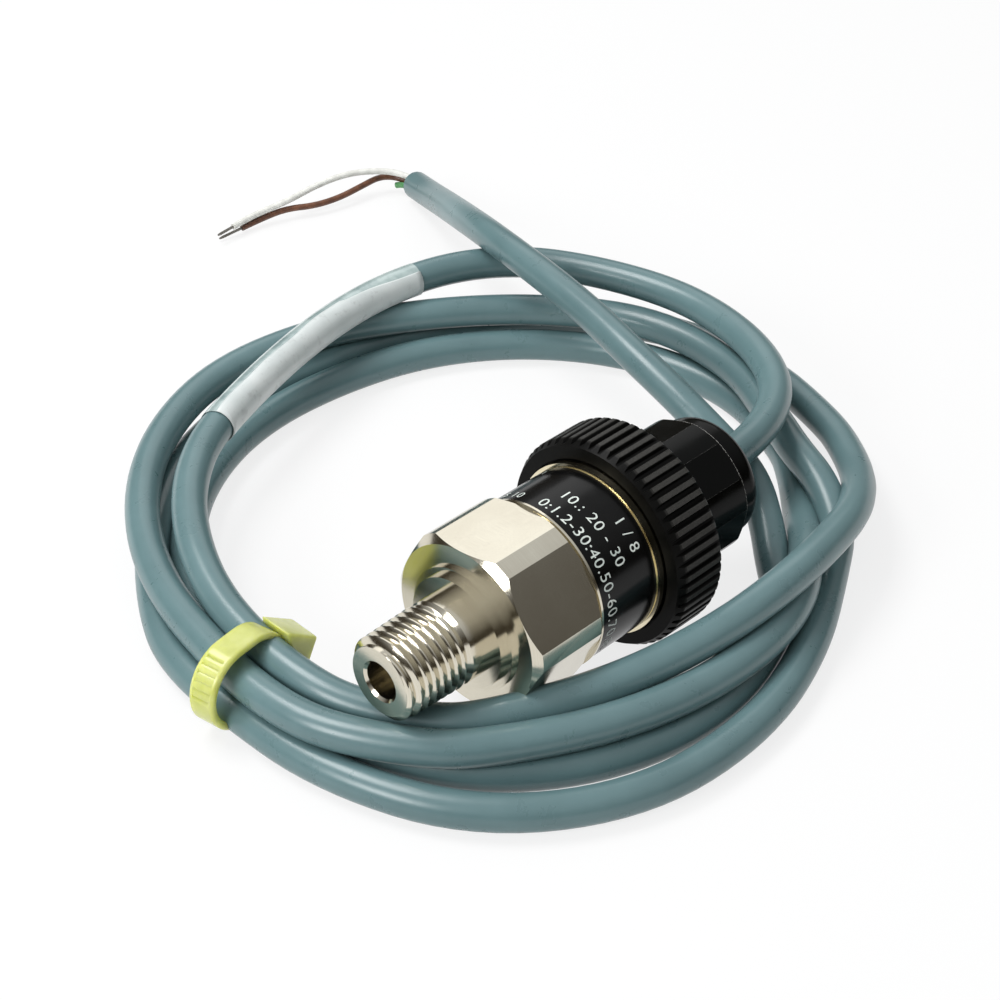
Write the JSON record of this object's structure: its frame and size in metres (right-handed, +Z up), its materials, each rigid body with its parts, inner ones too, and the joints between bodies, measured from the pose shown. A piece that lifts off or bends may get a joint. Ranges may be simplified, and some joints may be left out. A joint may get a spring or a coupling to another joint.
{
  "type": "pressure transmitter",
  "caption": "Pressure transmitter: threaded steel port with a wrench hexagon, black sleeve, ribbed union nut and cable gland, with its tied coil of cable and stripped cores.",
  "frame": {"origin": "on the floor below the middle of the sensor, which lies on its union nut and coil", "axes": "+X along the sensor from the pressure port to the cable exit, +Z up, +Y towards the far side of the cable coil"},
  "size_m": [0.1424, 0.178, 0.0352],
  "materials": {
    "stainless_steel": "satin turned",
    "black_gloss_sleeve": "glossy",
    "gold_brass": "polished",
    "matte_black_plastic": "matte",
    "gloss_black_plastic": "semi-gloss",
    "black_plastic": "satin",
    "slip_nylon": "satin",
    "black_rubber": "matte",
    "white_ceramic": "matte",
    "green_laminate": "satin",
    "chip_black": "matte",
    "gold_contact": "polished",
    "cable_grey": "semi-gloss",
    "core_white": "satin",
    "core_brown": "satin",
    "core_green": "satin",
    "tinned_copper": "metallic",
    "label_white": "satin",
    "tie_yellow": "translucent"
  },
  "bodies": {
    "transmitter": {"port_body": "stainless_steel", "pressure_snubber": "stainless_steel", "cell_seal": "black_rubber", "ceramic_cell": "white_ceramic", "cell_clamp_ring": "stainless_steel", "sleeve_seal": "black_rubber", "housing_sleeve": "black_gloss_sleeve", "board_spacer": "black_plastic", "signal_board": "green_laminate", "amplifier_chip": "chip_black", "thread_ring": "gold_brass", "header_insert": "black_plastic", "socket_gasket": "black_rubber", "cable_socket": "black_plastic", "gland_grommet": "black_rubber", "gland_clamp": "black_plastic", "gland_cap": "gloss_black_plastic", "cable_exit": "cable_grey", "cable_coil": "cable_grey", "cable_tail": "cable_grey", "core_white": "core_white", "core_brown": "core_brown", "core_green": "core_green", "tip_white": "tinned_copper", "tip_brown": "tinned_copper", "cable_label": "label_white", "tie_strap": "tie_yellow", "tie_head": "tie_yellow", "cell_pin_1": "gold_contact", "cell_pin_2": "gold_contact", "cell_pin_3": "gold_contact", "cell_pin_4": "gold_contact", "header_pin_1": "gold_contact", "socket_contact_1": "gold_contact", "core_lead_1": "core_white", "header_pin_2": "gold_contact", "socket_contact_2": "gold_contact", "core_lead_2": "core_brown", "header_pin_3": "gold_contact", "socket_contact_3": "gold_contact", "core_lead_3": "core_green"},
    "slip": {"slip_ring": "slip_nylon"},
    "nut": {"union_nut": "matte_black_plastic"}
  },
  "joints": [
    {"name": "nut_travel", "type": "slide", "parent": "transmitter", "child": "slip", "axis": [1, 0, 0], "range_m": [0, 0.00375]},
    {"name": "nut_turn", "type": "hinge", "parent": "slip", "child": "nut", "pos_m": [0.01335, 0, 0.0176], "axis": [1, 0, 0], "range_deg": [0, 900]}
  ],
  "couplings": [
    {"joint": "nut_travel", "follows": "nut_turn", "m_per_rad": 0.00023873}
  ]
}
